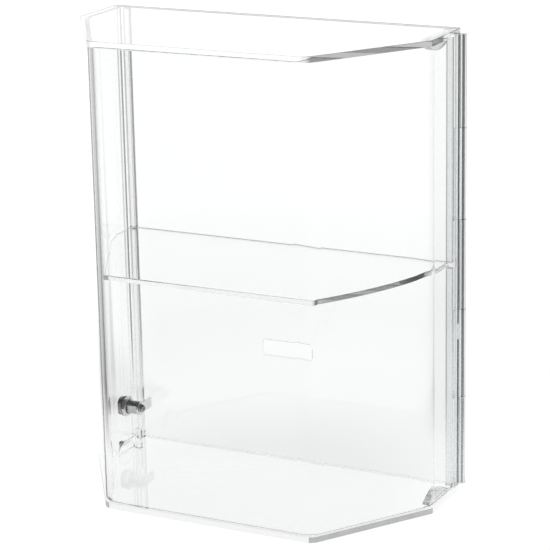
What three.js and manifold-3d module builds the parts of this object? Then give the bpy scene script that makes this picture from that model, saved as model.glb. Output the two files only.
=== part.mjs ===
// Clear acrylic donation box with a bay-shaped swinging front, a middle shelf and a cam lock.
// Units are millimetres. +Z is up, +X is to the right and -Y faces the front.
// The origin is the centre of the base plate's underside.

import * as THREE from 'three';
import { mergeVertices } from 'three/addons/utils/BufferGeometryUtils.js';
import Module from 'manifold-3d';

const wasm = await Module();
wasm.setup();

// ---------------------------------------------------------------- driving dimensions

const HEIGHT = 470;
const WIDTH = 379;
const DEPTH = 187;
const FRONT_WIDTH = 226;
const SIDE_DEPTH = 71;

const PLATE = 6;
const SHEET = 5;
const GLUE_GAP = 0.3;
const DOOR_GAP = 1.3;

const SHELF_TOP = 239;
const SHELF_EAR_X = 175.4;
const STILE = 6.5;
const STILE_LEFT_X = 174.8;
const STILE_RIGHT_X = 181.5;

const COVER_FRONT_INSET = 1.5;
const COVER_LEFT_X = 184.5;
const COVER_RIGHT_X = 187;
const BEND_RADIUS = 28;

const LUG_THICKNESS = 6;
const LUG_LEFT = { x: -166.6, fromFront: 132, length: 38, height: 12.5 };
const LUG_RIGHT = { x: 178, fromFront: 145, length: 48, height: 8 };

const SLOT_WIDTH = 58;
const SLOT_HEIGHT = 17;
const SLOT_X = 2;
const SLOT_Z = 125;

const BARREL_RADIUS = 3.2;
const PIN_RADIUS = 1.2;
const PIN_BORE_RADIUS = 1.4;
const LEAF_WIDTH = 17;
const LEAF_THICKNESS = 1.6;
const KNUCKLES = 5;
const KNUCKLE_GAP = 0.4;

const LOCK_FROM_FRONT = 158;
const LOCK_Z = 47.5;
const LOCK_BODY_RADIUS = 7;
const LOCK_BODY_END = 23;
const LOCK_FLAT = 5.9;
const LOCK_HEAD_RADIUS = 10;
const LOCK_HEAD = 2.2;
const PLUG_RADIUS = 4.4;
const NUT_FLATS = 19;
const CAM_REACH = 22.8;
const CAM_WIDTH = 11;
const CAM_THICKNESS = 2;

// ---------------------------------------------------------------- derived values

const HALF_WIDTH = WIDTH / 2;
const REAR_Y = DEPTH / 2;
const PANEL_INNER_Y = REAR_Y - SHEET;
const WALL_BOTTOM = PLATE + GLUE_GAP;
const WALL_TOP = HEIGHT - PLATE - GLUE_GAP;
const WALL_HEIGHT = WALL_TOP - WALL_BOTTOM;

const fromFront = (distance) => distance - DEPTH / 2;

// The hinge axis lies one barrel radius clear of the flange's outer face and of the rear face.
const hingeX = COVER_RIGHT_X + BARREL_RADIUS + GLUE_GAP;
const hingeY = REAR_Y + BARREL_RADIUS + GLUE_GAP;

// The lock's axis crosses the left flange here.
const lockY = fromFront(LOCK_FROM_FRONT);

// ---------------------------------------------------------------- materials

const finish = (color, roughness, metalness, opacity = 1) => new THREE.MeshStandardMaterial({
  color, roughness, metalness, opacity, transparent: opacity < 1,
});

const clearAcrylic = () => finish(0xf4f7f7, 0.05, 0, 0.3);
const nickelPlate = () => finish(0x9a9b9c, 0.22, 1);
const satinZinc = () => finish(0xb4b5b6, 0.38, 1);
const darkSteel = () => finish(0x3c3d40, 0.35, 1);
const hingeSteel = () => finish(0x8e9092, 0.3, 1);

// ---------------------------------------------------------------- shape helpers

// A closed outline through corners [x, y, radius], each corner rounded by its radius.
function roundedShape(corners) {
  const shape = new THREE.Shape();
  corners.forEach(([x, y, radius], i) => {
    const corner = new THREE.Vector2(x, y);
    const previous = corners[(i + corners.length - 1) % corners.length];
    const next = corners[(i + 1) % corners.length];
    const back = new THREE.Vector2(previous[0], previous[1]).sub(corner).normalize();
    const ahead = new THREE.Vector2(next[0], next[1]).sub(corner).normalize();
    if (radius === 0) {
      if (i === 0) shape.moveTo(x, y);
      else shape.lineTo(x, y);
      return;
    }
    const halfAngle = Math.acos(THREE.MathUtils.clamp(back.dot(ahead), -1, 1)) / 2;
    const run = radius / Math.tan(halfAngle);
    const start = corner.clone().addScaledVector(back, run);
    const end = corner.clone().addScaledVector(ahead, run);
    const middle = back.clone().add(ahead).normalize();
    const centre = corner.clone().addScaledVector(middle, radius / Math.sin(halfAngle));
    const startAngle = Math.atan2(start.y - centre.y, start.x - centre.x);
    const endAngle = Math.atan2(end.y - centre.y, end.x - centre.x);
    const clockwise = back.cross(ahead) > 0;
    if (i === 0) shape.moveTo(start.x, start.y);
    else shape.lineTo(start.x, start.y);
    shape.absarc(centre.x, centre.y, radius, startAngle, endAngle, clockwise);
  });
  shape.closePath();
  return shape;
}

// Straight extrusion of an outline upwards from z = bottom.
function extrude(shape, height, bottom = 0, arcSegments = 8) {
  const geometry = new THREE.ExtrudeGeometry(shape, {
    depth: height, bevelEnabled: false, curveSegments: arcSegments, steps: 1,
  });
  geometry.translate(0, 0, bottom);
  return geometry;
}

// A solid of revolution about +Z from a closed profile of [radius, z] points.
function revolve(profile, segments) {
  const points = profile.map(([r, z]) => new THREE.Vector2(r, z));
  points.push(points[0].clone());
  const geometry = new THREE.LatheGeometry(points, segments);
  geometry.rotateX(Math.PI / 2);
  return geometry;
}

function box(sizeX, sizeY, sizeZ, x, y, z) {
  const geometry = new THREE.BoxGeometry(sizeX, sizeY, sizeZ);
  geometry.translate(x, y, z);
  return geometry;
}

function cylinder(radius, length, segments) {
  const geometry = new THREE.CylinderGeometry(radius, radius, length, segments);
  geometry.rotateX(Math.PI / 2);
  geometry.translate(0, 0, length / 2);
  return geometry;
}

function toSolid(geometry) {
  const bare = geometry.clone();
  bare.deleteAttribute('normal');
  bare.deleteAttribute('uv');
  const merged = mergeVertices(bare, 1e-4);
  return new wasm.Manifold(new wasm.Mesh({
    numProp: 3,
    vertProperties: new Float32Array(merged.attributes.position.array),
    triVerts: new Uint32Array(merged.index.array),
  }));
}

function toGeometry(solid) {
  const mesh = solid.getMesh();
  const geometry = new THREE.BufferGeometry();
  geometry.setAttribute('position', new THREE.BufferAttribute(mesh.vertProperties, 3));
  geometry.setIndex(new THREE.BufferAttribute(mesh.triVerts, 1));
  geometry.computeVertexNormals();
  return geometry;
}

function cut(geometry, ...tools) {
  return toGeometry(tools.reduce((solid, tool) => solid.subtract(toSolid(tool)), toSolid(geometry)));
}

function part(name, geometry, material) {
  const mesh = new THREE.Mesh(geometry, material);
  mesh.name = name;
  return mesh;
}

// ---------------------------------------------------------------- plates, panel and shelf

const PLATE_FRONT_RADIUS = 15;
const PLATE_SIDE_RADIUS = 5;
const PLATE_REAR_RADIUS = 3;

function plateOutline() {
  const front = fromFront(0);
  const sideY = fromFront(DEPTH - SIDE_DEPTH);
  return roundedShape([
    [-FRONT_WIDTH / 2, front, PLATE_FRONT_RADIUS],
    [FRONT_WIDTH / 2, front, PLATE_FRONT_RADIUS],
    [HALF_WIDTH, sideY, PLATE_SIDE_RADIUS],
    [HALF_WIDTH, REAR_Y, PLATE_REAR_RADIUS],
    [-HALF_WIDTH, REAR_Y, PLATE_REAR_RADIUS],
    [-HALF_WIDTH, sideY, PLATE_SIDE_RADIUS],
  ]);
}

function basePlate() {
  return part('base_plate', extrude(plateOutline(), PLATE), clearAcrylic());
}

function topPlate() {
  return part('top_plate', extrude(plateOutline(), PLATE, HEIGHT - PLATE), clearAcrylic());
}

// Rear wall between the plates, with the rounded slot in its lower half. On the right it ends
// flush with the flange, where the hinge starts.
function backPanel() {
  const left = -HALF_WIDTH + 0.5;
  const right = COVER_RIGHT_X;
  const outline = roundedShape([
    [left, WALL_BOTTOM, 0],
    [right, WALL_BOTTOM, 0],
    [right, WALL_TOP, 0],
    [left, WALL_TOP, 0],
  ]);
  const slotRadius = 4;
  outline.holes.push(roundedShape([
    [SLOT_X - SLOT_WIDTH / 2, SLOT_Z - SLOT_HEIGHT / 2, slotRadius],
    [SLOT_X + SLOT_WIDTH / 2, SLOT_Z - SLOT_HEIGHT / 2, slotRadius],
    [SLOT_X + SLOT_WIDTH / 2, SLOT_Z + SLOT_HEIGHT / 2, slotRadius],
    [SLOT_X - SLOT_WIDTH / 2, SLOT_Z + SLOT_HEIGHT / 2, slotRadius],
  ]));
  const geometry = extrude(outline, SHEET);
  geometry.rotateX(Math.PI / 2);
  geometry.translate(0, REAR_Y, 0);
  return part('back_panel', geometry, clearAcrylic());
}

// Shelf with two ears beside the flanges; its angled edges bow out along the cover's facets.
function middleShelf() {
  const back = PANEL_INNER_Y - GLUE_GAP;
  const earFront = fromFront(147);
  const neckX = 172;
  const neckY = fromFront(141);
  const frontX = 110;
  const frontY = fromFront(12);
  const bowStart = [114, fromFront(18)];
  const bowControl = [158, fromFront(80)];
  const shape = new THREE.Shape();
  shape.moveTo(-frontX, frontY);
  shape.lineTo(frontX, frontY);
  shape.quadraticCurveTo(frontX + 4, frontY, ...bowStart);
  shape.quadraticCurveTo(...bowControl, neckX, neckY);
  shape.lineTo(SHELF_EAR_X, earFront);
  shape.lineTo(SHELF_EAR_X, back);
  shape.lineTo(-SHELF_EAR_X, back);
  shape.lineTo(-SHELF_EAR_X, earFront);
  shape.lineTo(-neckX, neckY);
  shape.quadraticCurveTo(-bowControl[0], bowControl[1], -bowStart[0], bowStart[1]);
  shape.quadraticCurveTo(-frontX - 4, frontY, -frontX, frontY);
  return part('middle_shelf', extrude(shape, SHEET, SHELF_TOP - SHEET, 14), clearAcrylic());
}

// ---------------------------------------------------------------- lugs and stiles

// Half-round lug with its straight edge down and its length along Y.
function lugGeometry({ x, fromFront: distance, length, height }) {
  const half = length / 2;
  const radius = (half * half + height * height) / (2 * height);
  const centreZ = height - radius;
  const edgeAngle = Math.atan2(-centreZ, half);
  const shape = new THREE.Shape();
  shape.moveTo(half, 0);
  shape.absarc(0, centreZ, radius, edgeAngle, Math.PI - edgeAngle, false);
  shape.closePath();
  const geometry = extrude(shape, LUG_THICKNESS, -LUG_THICKNESS / 2, 20);
  geometry.rotateX(Math.PI / 2);
  geometry.rotateZ(Math.PI / 2);
  geometry.translate(x, fromFront(distance), 0);
  return geometry;
}

// One lug stands by the left flange, clear of its swing, and two are beside the right flange.
function lugs() {
  const group = new THREE.Group();
  const baseLeft = part('lug_base_left', lugGeometry(LUG_LEFT), clearAcrylic());
  const baseRight = part('lug_base_right', lugGeometry(LUG_RIGHT), clearAcrylic());
  const topRight = part('lug_top_right', lugGeometry({ ...LUG_RIGHT, x: -LUG_RIGHT.x }), clearAcrylic());
  baseLeft.position.z = WALL_BOTTOM;
  baseRight.position.z = WALL_BOTTOM;
  topRight.rotation.y = Math.PI;
  topRight.position.z = WALL_TOP;
  group.add(baseLeft, baseRight, topRight);
  return group;
}

// Square corner bars on the back panel, above and below the shelf.
function stiles() {
  const group = new THREE.Group();
  const y = PANEL_INNER_Y - GLUE_GAP - STILE / 2;
  const spans = [
    ['lower', WALL_BOTTOM, SHELF_TOP - SHEET - GLUE_GAP],
    ['upper', SHELF_TOP + GLUE_GAP, WALL_TOP],
  ];
  const centres = [
    ['left', STILE / 2 - STILE_LEFT_X],
    ['right', STILE_RIGHT_X - STILE / 2],
  ];
  for (const [sideName, x] of centres) {
    for (const [level, bottom, top] of spans) {
      const geometry = box(STILE, STILE, top - bottom, x, y, (bottom + top) / 2);
      group.add(part(`stile_${sideName}_${level}`, geometry, clearAcrylic()));
    }
  }
  return group;
}

// ---------------------------------------------------------------- swinging front cover

// The crossing point of two lines, each through a point and along a direction.
function crossing(pointA, alongA, pointB, alongB) {
  const between = pointB.clone().sub(pointA);
  const k = between.cross(alongB) / alongA.cross(alongB);
  return pointA.clone().addScaledVector(alongA, k);
}

// Half of the cover's section on the +X side: outer face from the front bend to the rear edge,
// then the inner face back to the front bend.
function coverHalf(sideX) {
  const rear = new THREE.Vector2(sideX, PANEL_INNER_Y - DOOR_GAP);
  const sideBend = new THREE.Vector2(sideX, fromFront(DEPTH - SIDE_DEPTH));
  const frontBend = new THREE.Vector2(FRONT_WIDTH / 2, fromFront(COVER_FRONT_INSET));
  const facetAlong = sideBend.clone().sub(frontBend).normalize();
  const facetIn = new THREE.Vector2(-facetAlong.y, facetAlong.x);
  const innerRear = new THREE.Vector2(rear.x - SHEET, rear.y);
  const facetInner = frontBend.clone().addScaledVector(facetIn, SHEET);
  const innerSide = crossing(innerRear, new THREE.Vector2(0, 1), facetInner, facetAlong);
  const frontInner = new THREE.Vector2(0, frontBend.y + SHEET);
  const innerFront = crossing(frontInner, new THREE.Vector2(1, 0), facetInner, facetAlong);
  return [
    [frontBend.x, frontBend.y, BEND_RADIUS],
    [sideBend.x, sideBend.y, BEND_RADIUS],
    [rear.x, rear.y, 0],
    [innerRear.x, innerRear.y, 0],
    [innerSide.x, innerSide.y, BEND_RADIUS - SHEET],
    [innerFront.x, innerFront.y, BEND_RADIUS - SHEET],
  ];
}

// One sheet bent at four lines: flange, facet, front, facet, flange.
function coverOutline() {
  const leftHalf = coverHalf(COVER_LEFT_X).map(([x, y, radius]) => [-x, y, radius]).reverse();
  return roundedShape([...coverHalf(COVER_RIGHT_X), ...leftHalf]);
}

// The lock's own frame: +Z runs inwards through the left flange, +X points to the rear.
function lockFrame() {
  const group = new THREE.Group();
  const inward = new THREE.Vector3(1, 0, 0);
  const rearward = new THREE.Vector3(0, 1, 0);
  const up = new THREE.Vector3(0, 0, 1);
  group.quaternion.setFromRotationMatrix(new THREE.Matrix4().makeBasis(rearward, up, inward));
  group.position.set(-COVER_LEFT_X, lockY, LOCK_Z);
  group.updateMatrix();
  return group;
}

// Round bar with two flats, as the lock body and its hole in the sheet have.
function flattedBar(radius, flat, length, bottom) {
  const bar = cylinder(radius, length, 32);
  const slab = box(2 * flat, 4 * radius, 2 * length, 0, 0, length / 2);
  const geometry = toGeometry(toSolid(bar).intersect(toSolid(slab)));
  geometry.translate(0, 0, bottom);
  return geometry;
}

function frontCover() {
  const hole = flattedBar(LOCK_BODY_RADIUS + 0.3, LOCK_FLAT + 0.3, 3 * SHEET, -SHEET);
  hole.applyMatrix4(lockFrame().matrix);
  const sheet = extrude(coverOutline(), WALL_HEIGHT, WALL_BOTTOM, 10);
  return part('front_cover', cut(sheet, hole), clearAcrylic());
}

// ---------------------------------------------------------------- continuous hinge

// A leaf with its knuckles round the Z axis. The leaf runs towards -X and its glued face is
// on the side given; a leaf owns the knuckles whose number has the given parity.
function hingeLeafGeometry(side, parity) {
  const pitch = WALL_HEIGHT / KNUCKLES;
  const leafY = side * (BARREL_RADIUS - LEAF_THICKNESS / 2);
  let leaf = toSolid(box(LEAF_WIDTH, LEAF_THICKNESS, WALL_HEIGHT, -LEAF_WIDTH / 2, leafY, WALL_HEIGHT / 2));
  for (let i = 0; i < KNUCKLES; i += 1) {
    const length = pitch - KNUCKLE_GAP;
    const bottom = i * pitch + KNUCKLE_GAP / 2;
    if (i % 2 === parity) {
      const knuckle = cylinder(BARREL_RADIUS, length, 24);
      knuckle.translate(0, 0, bottom);
      leaf = leaf.add(toSolid(knuckle));
    } else {
      const reach = BARREL_RADIUS + 0.5;
      const relief = box(2 * reach, 2 * reach, pitch + KNUCKLE_GAP, 0, 0, (i + 0.5) * pitch);
      leaf = leaf.subtract(toSolid(relief));
    }
  }
  const bore = cylinder(PIN_BORE_RADIUS, WALL_HEIGHT + 2, 16);
  bore.translate(0, 0, -1);
  return toGeometry(leaf.subtract(toSolid(bore)));
}

function hinge() {
  const group = new THREE.Group();
  const backLeaf = part('hinge_leaf_back', hingeLeafGeometry(-1, 0), clearAcrylic());
  const coverLeaf = part('hinge_leaf_cover', hingeLeafGeometry(1, 1), clearAcrylic());
  coverLeaf.rotation.z = Math.PI / 2;
  const pin = part('hinge_pin', cylinder(PIN_RADIUS, WALL_HEIGHT - 1, 16), hingeSteel());
  pin.position.z = 0.5;
  group.add(backLeaf, coverLeaf, pin);
  group.position.set(hingeX, hingeY, WALL_BOTTOM);
  return group;
}

// ---------------------------------------------------------------- cam lock

const WASHER_START = SHEET + GLUE_GAP;
const WASHER_END = WASHER_START + 1;
const NUT_START = WASHER_END + GLUE_GAP;
const NUT_END = NUT_START + 4.5;
const CAM_START = LOCK_BODY_END + GLUE_GAP;
const CAM_END = CAM_START + CAM_THICKNESS;
const SCREW_WASHER_START = CAM_END + GLUE_GAP;
const SCREW_WASHER_END = SCREW_WASHER_START + 0.8;
const SCREW_HEAD_START = SCREW_WASHER_END + GLUE_GAP;
const THREAD_CLEAR = LOCK_BODY_RADIUS + 0.3;
const BOSS = 5.6;
const SCREW_SHANK = 1.5;

// Round head outside the flange and a flatted body through it, bored for the plug.
function lockHousing() {
  const head = revolve([
    [0, -LOCK_HEAD],
    [LOCK_HEAD_RADIUS - 1, -LOCK_HEAD],
    [LOCK_HEAD_RADIUS, -LOCK_HEAD + 1],
    [LOCK_HEAD_RADIUS, -GLUE_GAP],
    [0, -GLUE_GAP],
  ], 36);
  const body = flattedBar(LOCK_BODY_RADIUS, LOCK_FLAT, LOCK_BODY_END + LOCK_HEAD / 2, -LOCK_HEAD / 2);
  const bore = cylinder(PLUG_RADIUS + 0.3, LOCK_BODY_END + LOCK_HEAD + 2, 28);
  bore.translate(0, 0, -LOCK_HEAD - 1);
  const solid = toSolid(head).add(toSolid(body)).subtract(toSolid(bore));
  return part('lock_housing', toGeometry(solid), nickelPlate());
}

function ring(outer, inner, bottom, top, segments) {
  return revolve([[inner, bottom], [outer, bottom], [outer, top], [inner, top]], segments);
}

function lockWasher() {
  return part('lock_washer', ring(NUT_FLATS / 2 + 1.2, THREAD_CLEAR, WASHER_START, WASHER_END, 36),
    nickelPlate());
}

// Hexagonal nut with its corners turned off by a round blank.
function lockNut() {
  const length = NUT_END - NUT_START;
  const hexagon = cylinder(NUT_FLATS / Math.sqrt(3), length, 6);
  hexagon.translate(0, 0, NUT_START);
  const corner = NUT_FLATS / Math.sqrt(3);
  const blank = revolve([
    [0, NUT_START],
    [corner, NUT_START],
    [corner, NUT_END - 1],
    [corner - 1.6, NUT_END],
    [0, NUT_END],
  ], 36);
  const bore = cylinder(THREAD_CLEAR, 3 * length, 32);
  bore.translate(0, 0, NUT_START - length);
  const solid = toSolid(hexagon).intersect(toSolid(blank)).subtract(toSolid(bore));
  return part('lock_nut', toGeometry(solid), nickelPlate());
}

// Turning core with a keyway in its face, and a square boss that carries the cam.
function lockPlug() {
  const face = -LOCK_HEAD + 0.2;
  const core = cylinder(PLUG_RADIUS, LOCK_BODY_END - face, 28);
  core.translate(0, 0, face);
  const boss = box(BOSS, BOSS, CAM_END - LOCK_BODY_END + 1, 0, 0, (CAM_END + LOCK_BODY_END - 1) / 2);
  const keyway = box(6, 1.2, 16, 0, 0, face);
  const screwHole = cylinder(SCREW_SHANK + 0.3, 14, 16);
  screwHole.translate(0, 0, CAM_END - 12);
  const solid = toSolid(core).add(toSolid(boss)).subtract(toSolid(keyway)).subtract(toSolid(screwHole));
  return part('lock_plug', toGeometry(solid), satinZinc());
}

// Flat cam: a round end on the boss and a straight arm towards +X.
function lockCam() {
  const endRadius = 7.5;
  const arm = CAM_WIDTH / 2;
  const shoulder = Math.asin(arm / endRadius);
  const shape = new THREE.Shape();
  shape.absarc(0, 0, endRadius, shoulder, 2 * Math.PI - shoulder, false);
  shape.lineTo(CAM_REACH - 1.5, -arm);
  shape.quadraticCurveTo(CAM_REACH, -arm, CAM_REACH, -arm + 1.5);
  shape.lineTo(CAM_REACH, arm - 1.5);
  shape.quadraticCurveTo(CAM_REACH, arm, CAM_REACH - 1.5, arm);
  shape.closePath();
  const hole = BOSS / 2 + 0.3;
  shape.holes.push(roundedShape([
    [-hole, -hole, 0], [hole, -hole, 0], [hole, hole, 0], [-hole, hole, 0],
  ]));
  return part('lock_cam', extrude(shape, CAM_THICKNESS, CAM_START, 12), satinZinc());
}

function camWasher() {
  return part('cam_washer', ring(5.2, SCREW_SHANK + 0.3, SCREW_WASHER_START, SCREW_WASHER_END, 28),
    satinZinc());
}

// Domed screw with a cross recess; its shank runs into the plug.
function camScrew() {
  const headRadius = 4.2;
  const headHeight = 2.8;
  const blank = revolve([
    [0, CAM_END - 10],
    [SCREW_SHANK, CAM_END - 10],
    [SCREW_SHANK, SCREW_HEAD_START],
    [headRadius, SCREW_HEAD_START],
    [headRadius, SCREW_HEAD_START + 0.9],
    [headRadius * 0.8, SCREW_HEAD_START + 2],
    [headRadius * 0.45, SCREW_HEAD_START + 2.6],
    [0, SCREW_HEAD_START + headHeight],
  ], 24);
  const recessDepth = 3;
  const top = SCREW_HEAD_START + headHeight;
  const along = box(4.4, 0.9, recessDepth, 0, 0, top);
  const across = box(0.9, 4.4, recessDepth, 0, 0, top);
  return part('cam_screw', cut(blank, along, across), darkSteel());
}

function camLock() {
  const group = lockFrame();
  group.add(lockHousing(), lockWasher(), lockNut(), lockPlug(), lockCam(), camWasher(), camScrew());
  return group;
}

// Upright block on the base plate, just in front of the cam when the cam points down.
function lockKeeper() {
  const width = 6.5;
  const thickness = 5;
  const height = 22;
  const outline = roundedShape([
    [-thickness / 2, 0, 0],
    [thickness / 2, 0, 0],
    [thickness / 2, height, 1.5],
    [-thickness / 2, height, 1.5],
  ]);
  const geometry = extrude(outline, width, -width / 2, 4);
  geometry.rotateX(Math.PI / 2);
  geometry.rotateZ(Math.PI / 2);
  geometry.translate(-158, lockY - CAM_WIDTH / 2 - 1.2 - thickness / 2, WALL_BOTTOM);
  return part('lock_keeper', geometry, clearAcrylic());
}

// ---------------------------------------------------------------- assembly

const donationBox = new THREE.Group();
donationBox.add(
  basePlate(),
  topPlate(),
  backPanel(),
  middleShelf(),
  lugs(),
  stiles(),
  frontCover(),
  hinge(),
  camLock(),
  lockKeeper(),
);

export default donationBox;
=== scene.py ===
"""Clear acrylic donation box, drawn over its CAD frame. Lengths are in metres, and -Y is the front."""
import math

import bmesh
import bpy
from mathutils import Matrix, Vector


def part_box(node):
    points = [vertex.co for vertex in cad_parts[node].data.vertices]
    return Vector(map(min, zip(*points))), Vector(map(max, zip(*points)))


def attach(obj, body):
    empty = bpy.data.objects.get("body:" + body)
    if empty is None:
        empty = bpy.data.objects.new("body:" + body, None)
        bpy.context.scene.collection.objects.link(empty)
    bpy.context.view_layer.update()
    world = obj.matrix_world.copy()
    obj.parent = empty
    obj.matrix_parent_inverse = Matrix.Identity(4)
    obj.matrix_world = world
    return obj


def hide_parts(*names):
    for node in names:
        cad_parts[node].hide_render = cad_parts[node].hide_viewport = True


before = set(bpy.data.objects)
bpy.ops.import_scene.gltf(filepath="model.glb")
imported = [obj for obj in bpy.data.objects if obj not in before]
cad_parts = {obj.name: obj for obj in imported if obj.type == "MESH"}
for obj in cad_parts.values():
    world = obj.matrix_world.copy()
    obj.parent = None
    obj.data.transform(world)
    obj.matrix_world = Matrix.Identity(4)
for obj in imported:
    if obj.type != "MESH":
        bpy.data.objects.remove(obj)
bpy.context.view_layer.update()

MM = 0.001
WHOLE_TURN = 2 * math.pi


# ---------------------------------------------------------------- node helpers


def new_material(name):
    material = bpy.data.materials.new(name)
    material.use_nodes = True
    tree = material.node_tree
    return material, tree, tree.nodes["Principled BSDF"]


def feed(tree, target, inputs):
    """Sets a node's sockets, by name or number, each to a value or to another node's output."""
    for key, value in dict(inputs).items():
        if isinstance(value, bpy.types.NodeSocket):
            tree.links.new(value, target.inputs[key])
        else:
            target.inputs[key].default_value = value


def node(tree, kind, inputs=(), **settings):
    """A new node with the given settings and sockets."""
    made = tree.nodes.new(kind)
    for key, value in settings.items():
        setattr(made, key, value)
    feed(tree, made, inputs)
    return made


def place(tree, stretch=(1, 1, 1)):
    """Object coordinates, stretched."""
    where = node(tree, "ShaderNodeTexCoord").outputs["Object"]
    return node(tree, "ShaderNodeMapping", {"Vector": where, "Scale": stretch}).outputs["Vector"]


def noise(tree, where, scale, detail=3.0, rough=0.5):
    inputs = {"Vector": where, "Scale": scale, "Detail": detail, "Roughness": rough}
    return node(tree, "ShaderNodeTexNoise", inputs).outputs["Fac"]


def spread(tree, value, low, high, start=0.0, end=1.0):
    """value from low..high carried to start..end, and held there outside."""
    inputs = {"Value": value, "From Min": low, "From Max": high, "To Min": start, "To Max": end}
    return node(tree, "ShaderNodeMapRange", inputs).outputs["Result"]


def tint(tree, factor, dark, light):
    inputs = {"Factor": factor, "A": (*dark, 1), "B": (*light, 1)}
    return node(tree, "ShaderNodeMix", inputs, data_type="RGBA").outputs["Result"]


def blend(tree, factor, first, second):
    return node(tree, "ShaderNodeMix", {"Factor": factor, "A": first, "B": second}).outputs["Result"]


def bump(tree, height, strength, distance):
    inputs = {"Height": height, "Strength": strength, "Distance": distance}
    return node(tree, "ShaderNodeBump", inputs).outputs["Normal"]


def reckon(tree, operation, first, second):
    return node(tree, "ShaderNodeMath", {0: first, 1: second}, operation=operation).outputs["Value"]


def mean(tree, first, second):
    return reckon(tree, "MULTIPLY", reckon(tree, "ADD", first, second), 0.5)


# ---------------------------------------------------------------- materials

ACRYLIC_IOR = 1.49
# An edge that bends light this little is seen only faintly.
FAINT_IOR = 1.04


def clear_sheet(name, dark, light, haze, waviness):
    """Clear cast acrylic: faint tint, hairline scratches, a trace of handling haze and slow ripples."""
    material, tree, shader = new_material(name)
    where = place(tree)
    scratches = spread(tree, noise(tree, place(tree, (1, 1, 0.02)), 900.0, 2.0), 0.66, 0.74)
    smears = spread(tree, noise(tree, where, 26.0, 5.0, 0.62), 0.5, 0.8)
    feed(tree, shader, {
        "Transmission Weight": 1.0,
        "IOR": ACRYLIC_IOR,
        "Base Color": tint(tree, noise(tree, where, 9.0, 4.0), dark, light),
        "Roughness": reckon(tree, "MULTIPLY", reckon(tree, "ADD", scratches, smears), haze),
        "Normal": bump(tree, noise(tree, where, 14.0, 2.0), waviness, 0.0002),
    })
    return material


def cut_edge(name, dark, light, rough_low, rough_high, ior=ACRYLIC_IOR):
    """Polished edge of a clear sheet, with faint cutter marks left along it."""
    material, tree, shader = new_material(name)
    cloud = noise(tree, place(tree), 60.0, 4.0)
    marks = noise(tree, place(tree, (0.06, 0.06, 1)), 900.0, 3.0, 0.6)
    feed(tree, shader, {
        "Transmission Weight": 1.0,
        "IOR": ior,
        "Base Color": tint(tree, cloud, dark, light),
        "Roughness": spread(tree, mean(tree, marks, cloud), 0.3, 0.7, rough_low, rough_high),
        "Normal": bump(tree, marks, 0.1, 0.00003),
    })
    return material


def metal(name, dark, light, rough_low, rough_high, grain, grain_scale, strength):
    """Plated metal: fine grain, drawn out along one axis, with a cloudy tone and scuffed spots."""
    material, tree, shader = new_material(name)
    where = place(tree)
    fine = noise(tree, place(tree, grain), grain_scale, 3.0, 0.6)
    scuffs = spread(tree, noise(tree, where, 420.0, 5.0, 0.7), 0.45, 0.8)
    surface = mean(tree, fine, scuffs)
    feed(tree, shader, {
        "Metallic": 1.0,
        "Base Color": tint(tree, noise(tree, where, 120.0, 4.0, 0.6), dark, light),
        "Roughness": spread(tree, surface, 0.1, 0.75, rough_low, rough_high),
        "Normal": bump(tree, surface, strength, 0.00006),
    })
    return material


ACRYLIC = clear_sheet("clear_acrylic", (0.978, 0.986, 0.986), (0.992, 0.996, 0.996), 0.018, 0.02)
ACRYLIC_BAR = clear_sheet("clear_bar", (0.88, 0.89, 0.89), (0.95, 0.955, 0.955), 0.03, 0.04)
# The right lugs' dark tint is painted shade, standing in for the dark reflections in their end faces.
SHADED_LUG = clear_sheet("lug_painted_shade", (0.55, 0.57, 0.57), (0.72, 0.735, 0.735), 0.05, 0.1)
HINGE_PLASTIC = clear_sheet("clear_hinge_plastic", (0.9, 0.915, 0.92), (0.95, 0.96, 0.962), 0.05, 0.1)

# The slanted front edges carry painted shade, greyer than the square ones, and the base plate's painted
# shade is the darkest.
ACRYLIC_EDGE = cut_edge("cut_edge", (0.93, 0.945, 0.945), (0.975, 0.982, 0.982), 0.012, 0.045)
SHADED_SLANTED_EDGE = cut_edge("shaded_slanted_edge", (0.56, 0.57, 0.57), (0.8, 0.81, 0.81), 0.012, 0.05)
SHADED_BASE_EDGE = cut_edge("shaded_base_edge", (0.16, 0.163, 0.163), (0.38, 0.385, 0.385), 0.03, 0.09)
SLOT_EDGE = cut_edge("slot_edge", (0.94, 0.95, 0.95), (0.98, 0.985, 0.985), 0.02, 0.06, FAINT_IOR)

EVEN = (1, 1, 1)
ALONG_X = (0.05, 1, 1)
ALONG_Y = (1, 0.04, 1)
ALONG_Z = (1, 1, 0.03)
NICKEL = metal("nickel_plate", (0.4, 0.395, 0.39), (0.56, 0.555, 0.55), 0.03, 0.1, ALONG_X, 900, 0.06)
SATIN_NICKEL = metal("satin_nickel", (0.68, 0.675, 0.67), (0.84, 0.835, 0.83), 0.26, 0.4, ALONG_X, 900, 0.1)
ZINC = metal("satin_zinc", (0.74, 0.745, 0.75), (0.86, 0.865, 0.87), 0.22, 0.4, ALONG_Y, 1500, 0.25)
DARK_STEEL = metal("dark_steel", (0.26, 0.26, 0.265), (0.44, 0.44, 0.445), 0.03, 0.1, EVEN, 1100, 0.1)
PIN_STEEL = metal("drawn_pin", (0.45, 0.455, 0.46), (0.58, 0.585, 0.59), 0.18, 0.36, ALONG_Z, 1400, 0.2)


# ---------------------------------------------------------------- outlines


def rounded(corners, arc=18):
    """Closed outline through corners (x, y, radius), each corner turned by its radius in arc steps."""
    points = []
    for i, (x, y, radius) in enumerate(corners):
        here = Vector((x, y))
        if radius == 0:
            points.append(here)
            continue
        back = (Vector(corners[i - 1][:2]) - here).normalized()
        ahead = (Vector(corners[(i + 1) % len(corners)][:2]) - here).normalized()
        half = back.angle(ahead) / 2
        centre = here + (back + ahead).normalized() * (radius / math.sin(half))
        start = here + back * (radius / math.tan(half)) - centre
        turn = (math.pi - 2 * half) * (1 if back.cross(ahead) < 0 else -1)
        for k in range(arc + 1):
            arm = start.copy()
            arm.rotate(Matrix.Rotation(turn * k / arc, 2))
            points.append(centre + arm)
    return points


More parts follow.
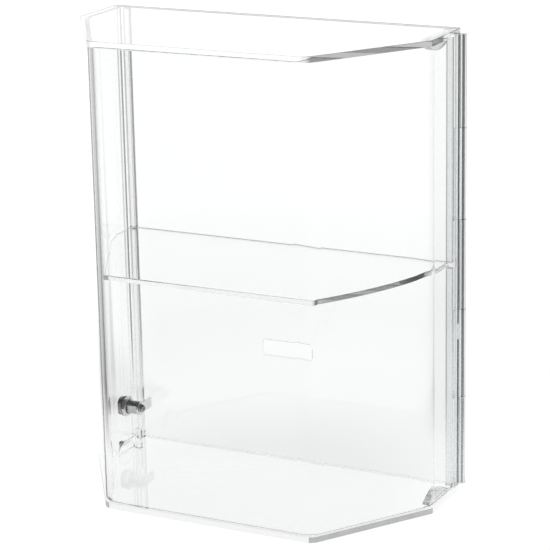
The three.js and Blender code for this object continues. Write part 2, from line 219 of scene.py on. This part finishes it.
def mirrored(corners):
    """The same corners on the left side, in the order that carries the outline on."""
    return [(-x, *rest) for x, *rest in reversed(corners)]


def curve(start, control, end, steps=24):
    """Points on a curve that leaves start and meets end, heading for control. start is left out."""
    parts = [k / steps for k in range(1, steps + 1)]
    return [start * (1 - t) ** 2 + control * (2 * t * (1 - t)) + end * t ** 2 for t in parts]


def crossing(point_a, along_a, point_b, along_b):
    """Where two lines meet, each given by a point and a direction."""
    k = (point_b - point_a).cross(along_b) / along_a.cross(along_b)
    return point_a + along_a * k


def rectangle(low, high):
    return [(low[0], low[1]), (high[0], low[1]), (high[0], high[1]), (low[0], high[1])]


def oblong(width, depth):
    """A rectangle round the origin."""
    return rectangle((-width / 2, -depth / 2), (width / 2, depth / 2))


def spoke(radius, turn, flat=math.inf):
    """The point at this part of a whole turn, no further out in x than the flat."""
    angle = WHOLE_TURN * turn
    return max(-flat, min(flat, radius * math.cos(angle))), radius * math.sin(angle)


def circle(radius, steps, flat=math.inf):
    return [spoke(radius, k / steps, flat) for k in range(steps)]


# ---------------------------------------------------------------- mesh helpers

ARRIS = 0.35 * MM
AS_DRAWN = Matrix.Identity(4)
# Stands an outline up facing the front, or facing the side.
FACING_FRONT = Matrix(((1, 0, 0, 0), (0, 0, 1, 0), (0, 1, 0, 0), (0, 0, 0, 1)))
FACING_SIDE = Matrix(((0, 0, 1, 0), (1, 0, 0, 0), (0, 1, 0, 0), (0, 0, 0, 1)))


def shade(bm, smooth_below):
    """Smooth shading, with a crease wherever two faces meet at this angle in degrees or more."""
    for face in bm.faces:
        face.smooth = True
    for edge in bm.edges:
        edge.smooth = len(edge.link_faces) == 2 and edge.calc_face_angle() < math.radians(smooth_below)


def finish_mesh(bm, name, material, smooth_below=25):
    """An object from bm, which is used up."""
    bmesh.ops.recalc_face_normals(bm, faces=bm.faces)
    shade(bm, smooth_below)
    mesh = bpy.data.meshes.new(name)
    bm.to_mesh(mesh)
    bm.free()
    mesh.materials.append(material)
    made = bpy.data.objects.new(name, mesh)
    bpy.context.scene.collection.objects.link(made)
    return made


def soften(piece, width, segments=2):
    """Broken arrises, with the flat faces kept truly flat in shading."""
    edge = piece.modifiers.new("arris", "BEVEL")
    edge.width = width
    edge.segments = segments
    edge.limit_method = "ANGLE"
    edge.angle_limit = math.radians(28)
    edge.use_clamp_overlap = True
    flat = piece.modifiers.new("flat faces", "WEIGHTED_NORMAL")
    flat.weight = 100
    flat.keep_sharp = True
    return piece


def sheet(name, material, outline, low, high, placing=AS_DRAWN, holes=()):
    """A solid of the given outline and holes between two heights, then moved by placing."""
    bm = bmesh.new()
    edges = []
    verts = []
    for loop in (outline, *holes):
        verts = [bm.verts.new((x, y, low)) for x, y in loop]
        edges += [bm.edges.new((verts[i - 1], verts[i])) for i in range(len(verts))]
    if holes:
        bmesh.ops.triangle_fill(bm, use_beauty=True, edges=edges)
    else:
        bm.faces.new(verts)
    grown = bmesh.ops.extrude_face_region(bm, geom=bm.faces[:])["geom"]
    lifted = [item for item in grown if isinstance(item, bmesh.types.BMVert)]
    bmesh.ops.translate(bm, vec=(0, 0, high - low), verts=lifted)
    bmesh.ops.transform(bm, matrix=placing, verts=bm.verts)
    return finish_mesh(bm, name, material)


def skin(bm, rings, closed):
    """Faces between neighbouring rings of vertices, and from the last to the first if closed."""
    pairs = list(zip(rings, rings[1:]))
    if closed:
        pairs.append((rings[-1], rings[0]))
    for below, above in pairs:
        for k in range(len(below)):
            corners = []
            for vert in (below[k - 1], below[k], above[k], above[k - 1]):
                if vert not in corners:
                    corners.append(vert)
            if len(corners) > 2:
                bm.faces.new(corners)


def carve(piece, *cutters, smooth_below=25):
    """piece minus the cutters, which are then removed."""
    for cutter in cutters:
        tool = piece.modifiers.new("carve", "BOOLEAN")
        tool.operation = "DIFFERENCE"
        tool.solver = "EXACT"
        tool.object = cutter
        bpy.context.view_layer.update()
        done = bpy.data.meshes.new_from_object(piece.evaluated_get(bpy.context.evaluated_depsgraph_get()))
        piece.modifiers.remove(tool)
        piece.data = done
        bpy.data.objects.remove(cutter)
    bm = bmesh.new()
    bm.from_mesh(piece.data)
    shade(bm, smooth_below)
    bm.to_mesh(piece.data)
    bm.free()
    return piece


def finish_edges(piece, is_edge, shaded_slanted_edge=SHADED_SLANTED_EDGE):
    """Edge materials for the faces that is_edge picks, by whether they slant towards the front. The slanted
    ones carry painted shade.
    """
    piece.data.materials.append(ACRYLIC_EDGE)
    piece.data.materials.append(shaded_slanted_edge)
    for face in piece.data.polygons:
        if is_edge(face):
            slanted = abs(face.normal.x) > 0.3 and face.normal.y < -0.15
            face.material_index = 2 if slanted else 1


def stands_for(piece, node_name, body):
    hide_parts(node_name)
    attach(piece, body)


# ---------------------------------------------------------------- sizes taken from the CAD frame

base_low, base_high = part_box("base_plate")
top_low, top_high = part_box("top_plate")
shelf_low, shelf_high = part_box("middle_shelf")
panel_low, panel_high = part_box("back_panel")
cover_low, cover_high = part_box("front_cover")
head_low, head_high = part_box("lock_housing")

SHEET = 5 * MM
# The facets start this far either side of the middle and end at FACET_END, where the sides start.
FRONT_HALF = 113 * MM
FACET_END = base_high.y - 71 * MM
# Outer radii of the cover's bends. The side bends are gentler than in the CAD frame, so no line shows there.
FRONT_BEND = 28 * MM
SIDE_BEND = 46 * MM

# The threaded lock body's radius, and its half width across the flats, in mm.
BODY = 7.0
FLAT = 5.9
# The lock's own axes, in mm: Z runs inwards from the flange's outer face, X to the rear and Y up.
LOCK = Matrix((
    (0, 0, MM, cover_low.x),
    (MM, 0, 0, (head_low.y + head_high.y) / 2),
    (0, MM, 0, (head_low.z + head_high.z) / 2),
    (0, 0, 0, 1),
))


# ---------------------------------------------------------------- clear pieces


def plate_outline():
    right = [
        (FRONT_HALF, base_low.y, 15 * MM),
        (base_high.x, FACET_END, 5 * MM),
        (base_high.x, base_high.y, 3 * MM),
    ]
    return rounded([*right, *mirrored(right)])


def level_sheet(node_name, outline, low, high, shaded_slanted_edge):
    piece = soften(sheet(node_name + "_sheet", ACRYLIC, outline, low.z, high.z), ARRIS)
    finish_edges(piece, lambda face: abs(face.normal.z) < 0.5, shaded_slanted_edge)
    stands_for(piece, node_name, "case")


def plates():
    level_sheet("base_plate", plate_outline(), base_low, base_high, SHADED_BASE_EDGE)
    level_sheet("top_plate", plate_outline(), top_low, top_high, SHADED_SLANTED_EDGE)


def shelf_point(x, depth):
    """A point this far from the middle and behind the plates' front, in mm."""
    return Vector((x * MM, base_low.y + depth * MM))


def shelf():
    """Straight front, tightly turned corners, bowed sides, and an ear beside each flange."""
    front = Vector((110 * MM, shelf_low.y))
    corner = Vector((114 * MM, shelf_low.y))
    facet = shelf_point(114, 18)
    bow = shelf_point(158, 80)
    neck = shelf_point(172, 141)
    ear_start = Vector((shelf_high.x, base_low.y + 147 * MM))
    ear_end = Vector((shelf_high.x, shelf_high.y))
    right = [front, *curve(front, corner, facet), *curve(facet, bow, neck), ear_start, ear_end]
    level_sheet("middle_shelf", [*right, *mirrored(right)], shelf_low, shelf_high, SHADED_SLANTED_EDGE)


def back_panel():
    """A sheet with a rounded slot. The slot's rim and the sheet's foot show only faintly."""
    slot_x, slot_z, corner = 2 * MM, 125 * MM, 4 * MM
    hole = rounded([(slot_x + x * MM, slot_z + z * MM, corner) for x, z in oblong(58, 17)])
    outline = rectangle((panel_low.x, panel_low.z), (panel_high.x, panel_high.z))
    piece = sheet("back_panel_sheet", ACRYLIC, outline, panel_low.y, panel_high.y, FACING_FRONT, [hole])
    soften(piece, ARRIS)
    finish_edges(piece, lambda face: abs(face.normal.y) < 0.5)
    piece.data.materials.append(SLOT_EDGE)
    middle = (panel_low.z + panel_high.z) / 2
    for face in piece.data.polygons:
        low_inside = abs(face.center.x) < 40 * MM and face.center.z < middle
        if abs(face.normal.y) < 0.5 and low_inside:
            face.material_index = 3
    stands_for(piece, "back_panel", "case")


def lug(node_name, material, up):
    """A segment of a disc that stands on the base, or hangs from the top if up is -1."""
    low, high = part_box(node_name)
    middle = (low.y + high.y) / 2
    half = (high.y - low.y) / 2
    rise = high.z - low.z
    radius = (half * half + rise * rise) / (2 * rise)
    sweep = math.asin(min(1, half / radius))
    if rise > radius:
        sweep = math.pi - sweep
    foot = low.z if up > 0 else high.z
    outline = []
    for k in range(49):
        angle = sweep * (1 - 2 * k / 48)
        height = rise - radius + radius * math.cos(angle)
        outline.append((middle + radius * math.sin(angle), foot + up * height))
    piece = sheet(node_name + "_sheet", material, outline, low.x, high.x, FACING_SIDE)
    stands_for(soften(piece, ARRIS), node_name, "case")


def bar(node_name, material):
    low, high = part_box(node_name)
    piece = sheet(node_name + "_bar", material, rectangle(low, high), low.z, high.z)
    stands_for(soften(piece, 0.5 * MM), node_name, "case")


def cover_half(side):
    """Half of the cover's section, from the front bend's outer corner round to its inner corner."""
    rear = Vector((side, cover_high.y))
    side_bend = Vector((side, FACET_END))
    front_bend = Vector((FRONT_HALF, cover_low.y))
    along = (side_bend - front_bend).normalized()
    inward = Vector((-along.y, along.x))
    inner_rear = Vector((rear.x - SHEET, rear.y))
    facet = front_bend + inward * SHEET
    inner_side = crossing(inner_rear, Vector((0, 1)), facet, along)
    inner_front = crossing(Vector((0, front_bend.y + SHEET)), Vector((1, 0)), facet, along)
    return [
        (*front_bend, FRONT_BEND),
        (*side_bend, SIDE_BEND),
        (*rear, 0),
        (*inner_rear, 0),
        (*inner_side, SIDE_BEND - SHEET),
        (*inner_front, FRONT_BEND - SHEET),
    ]


def front_cover():
    """One bent sheet. Its right side stands a little further out than its left one."""

    def is_edge(face):
        at_rear = face.normal.y > 0.5 and face.center.y > cover_high.y - 0.5 * MM
        return abs(face.normal.z) > 0.5 or at_rear

    outline = rounded([*cover_half(cover_high.x), *mirrored(cover_half(-cover_low.x))], arc=24)
    piece = sheet("front_cover_sheet", ACRYLIC, outline, cover_low.z, cover_high.z)
    hole = sheet("lock_hole", ACRYLIC, circle(BODY + 0.3, 48, FLAT + 0.3), -4, 10, LOCK)
    soften(carve(piece, hole), ARRIS)
    finish_edges(piece, is_edge)
    stands_for(piece, "front_cover", "cover")


# ---------------------------------------------------------------- hinge


def hinge():
    """The leaves and the pin keep their CAD shape under finer materials."""
    looks = {"hinge_leaf_back": HINGE_PLASTIC, "hinge_leaf_cover": HINGE_PLASTIC, "hinge_pin": PIN_STEEL}
    for node_name, material in looks.items():
        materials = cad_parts[node_name].data.materials
        materials.clear()
        materials.append(material)


# ---------------------------------------------------------------- cam lock, in the lock's axes and mm

HEAD = 10.0
BORE = 4.7
PITCH = 1.0
THREAD_DEPTH = 0.18
THREAD_STEP = 0.2


def along_lock(node_name):
    """The start and end of a lock piece along the lock's axis."""
    low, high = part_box(node_name)
    return (low.x - cover_low.x) / MM, (high.x - cover_low.x) / MM


def lock_solid(name, material, loops, closed=True, smooth_below=25):
    """A solid skinned over (points, height) loops. A single point stands for a tip."""
    bm = bmesh.new()
    steps = max(len(points) for points, z in loops)
    rings = []
    for points, z in loops:
        ring = [bm.verts.new((x, y, z)) for x, y in points]
        rings.append(ring * (steps // len(ring)))
    skin(bm, rings, closed)
    bmesh.ops.transform(bm, matrix=LOCK, verts=bm.verts)
    return finish_mesh(bm, name, material, smooth_below)


def turned(name, material, profile, steps=64):
    """A solid of revolution. Its profile of (radius, height) is a loop, or runs from tip to tip."""
    loops = [(circle(radius, steps) if radius else [(0, 0)], z) for radius, z in profile]
    return lock_solid(name, material, loops, closed=profile[0][0] != 0)


def thread_loop(radius, z, steps):
    """One loop round the threaded body, whose ridge climbs by a pitch in each turn."""
    points = []
    for k in range(steps):
        phase = (z / PITCH - k / steps) % 1
        depth = THREAD_DEPTH * abs(2 * phase - 1) if z > 0.3 else 0.0
        points.append(spoke(radius - depth, k / steps, FLAT))
    return points


def lock_housing():
    start, end = along_lock("lock_housing")
    steps = 72
    head = [
        (BORE, start + 0.3), (BORE + 0.3, start), (HEAD - 1.4, start), (HEAD - 0.7, start + 0.15),
        (HEAD - 0.2, start + 0.55), (HEAD, start + 1.1), (HEAD, -0.5), (HEAD - 0.2, -0.3), (BODY, -0.3),
    ]
    loops = [(circle(radius, steps), z) for radius, z in head]
    for i in range(math.ceil((end - 0.05) / THREAD_STEP)):
        z = i * THREAD_STEP
        chamfer = max(0.0, z - end + 0.5)
        loops.append((thread_loop(BODY - chamfer, z, steps), z))
    loops.append((circle(BODY - 0.7, steps, FLAT), end))
    loops.append((circle(BORE + 0.2, steps), end))
    loops.append((circle(BORE, steps), end - 0.2))
    piece = lock_solid("lock_housing_turned", NICKEL, loops, smooth_below=34)
    stands_for(piece, "lock_housing", "cover")


def washer(node_name, material, outer, inner, edge, body):
    """A flat ring whose rims are broken by edge."""
    start, end = along_lock(node_name)
    profile = [
        (inner, start + edge), (inner + edge, start), (outer - edge, start), (outer, start + edge),
        (outer, end - edge), (outer - edge, end), (inner + edge, end), (inner, end - edge),
    ]
    stands_for(turned(node_name + "_ring", material, profile), node_name, body)


def lock_nut():
    """A hexagonal nut with flats above and below, its corners chamfered at both faces."""
    start, end = along_lock("lock_nut")
    half_flats = 9.5
    bore = BODY + 0.3
    steps = 96
    loops = []
    for z in (start, start + 0.25, start + 0.6, start + 1.1, (start + end) / 2,
              end - 1.1, end - 0.6, end - 0.25, end):
        chamfer = half_flats - 0.2 + 2.2 * min(z - start, end - z)
        points = []
        for k in range(steps):
            from_flat = WHOLE_TURN * (k / steps % (1 / 6) - 1 / 12)
            points.append(spoke(min(half_flats / math.cos(from_flat), chamfer), k / steps))
        loops.append((points, z))
    for radius, z in ((bore + 0.7, end), (bore, end - 0.6), (bore, start + 0.6), (bore + 0.7, start)):
        loops.append((circle(radius, steps), z))
    piece = lock_solid("lock_nut_hex", SATIN_NICKEL, loops, smooth_below=20)
    stands_for(piece, "lock_nut", "cover")


def lock_plug():
    """The turning core, with a keyway in front and a thinner neck for the cam behind."""
    start, end = along_lock("lock_plug")
    radius, neck, shoulder = 4.4, 2.75, 23.0
    profile = [
        (0, start + 0.1), (radius - 0.5, start + 0.1), (radius - 0.2, start + 0.2), (radius, start + 0.5),
        (radius, shoulder - 0.3), (radius - 0.3, shoulder), (neck, shoulder), (neck, end), (0, end),
    ]
    piece = turned("lock_plug_core", ZINC, profile)
    keyway = sheet("keyway", ZINC, oblong(6.4, 1.3), start - 6, start + 6, LOCK)
    stands_for(carve(piece, keyway), "lock_plug", "lock_core")


def lock_cam():
    """A stamped finger with a round eye over a square hole."""
    start, end = along_lock("lock_cam")
    reach = (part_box("lock_cam")[1].y - LOCK[1][3]) / MM
    half, eye, corner = 5.5, 7.5, 1.5
    shoulder = math.asin(half / eye) / WHOLE_TURN
    outline = [spoke(eye, shoulder + (1 - 2 * shoulder) * k / 48) for k in range(49)]
    for side, first in ((-1, -0.25), (1, 0)):
        for k in range(9):
            x, y = spoke(corner, first + 0.25 * k / 8)
            outline.append((reach - corner + x, side * (half - corner) + y))
    piece = sheet("lock_cam_stamped", ZINC, outline, start, end, LOCK, [oblong(6.2, 6.2)])
    stands_for(soften(piece, 0.25 * MM), "lock_cam", "lock_core")


def cam_screw():
    """A domed screw with a cross recess."""
    start, end = along_lock("cam_screw")
    shank, radius, dome = 1.5, 4.2, 2.3
    rim = end - dome
    head = rim - 0.5
    profile = [(0, start), (shank - 0.3, start), (shank, start + 0.3), (shank, head), (radius - 0.3, head),
               (radius - 0.05, head + 0.15), (radius, rim)]
    for k in range(1, 12):
        angle = math.radians(90 * k / 12)
        profile.append((radius * math.cos(angle), rim + dome * math.sin(angle)))
    profile.append((0, end))
    piece = turned("cam_screw_turned", DARK_STEEL, profile)
    recess_a = sheet("recess_a", DARK_STEEL, oblong(4.4, 0.95), end - 1.5, end + 1.5, LOCK)
    recess_b = sheet("recess_b", DARK_STEEL, oblong(0.95, 4.4), end - 1.5, end + 1.5, LOCK)
    carve(piece, recess_a, recess_b, smooth_below=32)
    stands_for(soften(piece, 0.08 * MM), "cam_screw", "lock_core")


# ---------------------------------------------------------------- studio

# Brightness of the room round the object, as (degrees from +X towards +Y, floor, walls).
ROOM = (
    (-180, 0.2, 0.2), (-166, 0.12, 0.12), (-152, 0.14, 0.2), (-140, 0.3, 0.2), (-128, 0.3, 0.2),
    (-62, 0.3, 0.1), (-42, 0.4, 0.3), (-10, 0.4, 0.4), (25, 0.45, 0.4), (60, 0.5, 0.5),
    (80, 1.0, 1.12), (134, 1.0, 1.12), (147, 0.6, 0.42), (168, 0.55, 0.38), (180, 0.2, 0.2),
)
FLOOR, WALLS = 1, 2
FLOOR_HALF = 9
# Floor brightness: darker under the object as a painted shadow, and brighter further out.
FLOOR_SHADOW_UNDER = 0.85
FLOOR_NEAR = 1.01
FLOOR_FAR = 1.12
# The walls give way to the ceiling between these sines of the angle above the horizon.
WALL_TOP = (0.42, 0.58)
CEILING = 0.015


def room_light(tree, where, column):
    """Brightness by compass direction, from the given column of ROOM."""
    turn = node(tree, "ShaderNodeTexGradient", {"Vector": where}, gradient_type="RADIAL").outputs["Fac"]
    ramp = node(tree, "ShaderNodeValToRGB", {"Fac": turn})
    stops = ramp.color_ramp.elements
    for i, row in enumerate(ROOM):
        spot = (row[0] + 180) / 360
        stop = stops[i] if i < 2 else stops.new(spot)
        stop.position = spot
        level = row[column] / 2
        stop.color = (level, level, level, 1)
    return reckon(tree, "MULTIPLY", ramp.outputs["Color"], 2.0)


def white_to_camera(tree, brightness):
    """Plain white where it is seen directly. The other brightness shows only in and through the box."""
    seen = node(tree, "ShaderNodeLightPath").outputs["Is Camera Ray"]
    return reckon(tree, "MAXIMUM", brightness, seen)


def floor():
    bm = bmesh.new()
    bm.faces.new([bm.verts.new((x, y, 0)) for x, y in oblong(2 * FLOOR_HALF, 2 * FLOOR_HALF)])
    material, tree, shader = new_material("pale_floor")
    where = place(tree)
    away = node(tree, "ShaderNodeVectorMath", {0: where}, operation="LENGTH").outputs["Value"]
    # A painted shadow on the glowing floor under the object, fading out between 0.14 and 0.3 m.
    painted_shadow_under = spread(tree, away, 0.14, 0.3, FLOOR_SHADOW_UNDER, FLOOR_NEAR)
    far = spread(tree, away, 0.42, 1.2, 0.0, FLOOR_FAR - FLOOR_NEAR)
    sides = blend(tree, spread(tree, away, 0.25, 0.46), 1.0, room_light(tree, where, FLOOR))
    glow = reckon(tree, "MULTIPLY", sides, reckon(tree, "ADD", painted_shadow_under, far))
    feed(tree, shader, {
        "Roughness": 0.9,
        "Base Color": tint(tree, noise(tree, where, 40.0, 2.0), (0.06, 0.06, 0.06), (0.07, 0.07, 0.07)),
        "Emission Color": (1, 1, 1, 1),
        "Emission Strength": white_to_camera(tree, glow),
    })
    finish_mesh(bm, "floor", material)


def surroundings():
    world = bpy.data.worlds.new("studio")
    bpy.context.scene.world = world
    world.use_nodes = True
    tree = world.node_tree
    where = node(tree, "ShaderNodeTexCoord").outputs["Generated"]
    height = node(tree, "ShaderNodeSeparateXYZ", {0: where}).outputs["Z"]
    brightness = blend(tree, spread(tree, height, *WALL_TOP), room_light(tree, where, WALLS), CEILING)
    feed(tree, tree.nodes["Background"], {
        "Color": (1, 1, 1, 1),
        "Strength": white_to_camera(tree, brightness),
    })


# ---------------------------------------------------------------- camera

CAMERA_PLACE = (0.98985, -1.91504, 0.85955)
# Degrees from +Y towards +X, below the horizon, and about the line of sight.
CAMERA_YAW = -26.548
CAMERA_PITCH = 16.324
CAMERA_ROLL = 1.126


def camera():
    yaw, pitch, roll = (math.radians(angle) for angle in (CAMERA_YAW, CAMERA_PITCH, CAMERA_ROLL))
    forward = Vector((math.sin(yaw) * math.cos(pitch), math.cos(yaw) * math.cos(pitch), -math.sin(pitch)))
    right = Vector((math.cos(yaw), -math.sin(yaw), 0))
    down = forward.cross(right)
    tilted_right = right * math.cos(roll) + down * math.sin(roll)
    tilted_down = down * math.cos(roll) - right * math.sin(roll)
    lens = bpy.data.cameras.new("camera")
    lens.sensor_width = 36
    lens.lens = 150
    lens.clip_end = 50
    view = bpy.data.objects.new("camera", lens)
    bpy.context.scene.collection.objects.link(view)
    spin = Matrix((tilted_right, -tilted_down, -forward)).transposed()
    view.matrix_world = Matrix.Translation(CAMERA_PLACE) @ spin.to_4x4()
    bpy.context.scene.camera = view


# ---------------------------------------------------------------- the scene

plates()
back_panel()
shelf()
lug("lug_base_left", ACRYLIC, 1)
lug("lug_base_right", SHADED_LUG, 1)
lug("lug_top_right", SHADED_LUG, -1)
for stile in ("stile_left_lower", "stile_left_upper", "stile_right_lower", "stile_right_upper"):
    bar(stile, ACRYLIC_BAR)
bar("lock_keeper", ACRYLIC)
front_cover()
hinge()
lock_housing()
washer("lock_washer", NICKEL, 10.7, 7.3, 0.25, "cover")
lock_nut()
lock_plug()
lock_cam()
washer("cam_washer", ZINC, 5.2, 1.8, 0.18, "lock_core")
cam_screw()
floor()
surroundings()
camera()

scene = bpy.context.scene
scene.view_settings.view_transform = "Standard"
# Light crosses many faces of the sheets and runs along inside them.
scene.cycles.max_bounces = 40
scene.cycles.transmission_bounces = 36
scene.cycles.glossy_bounces = 40
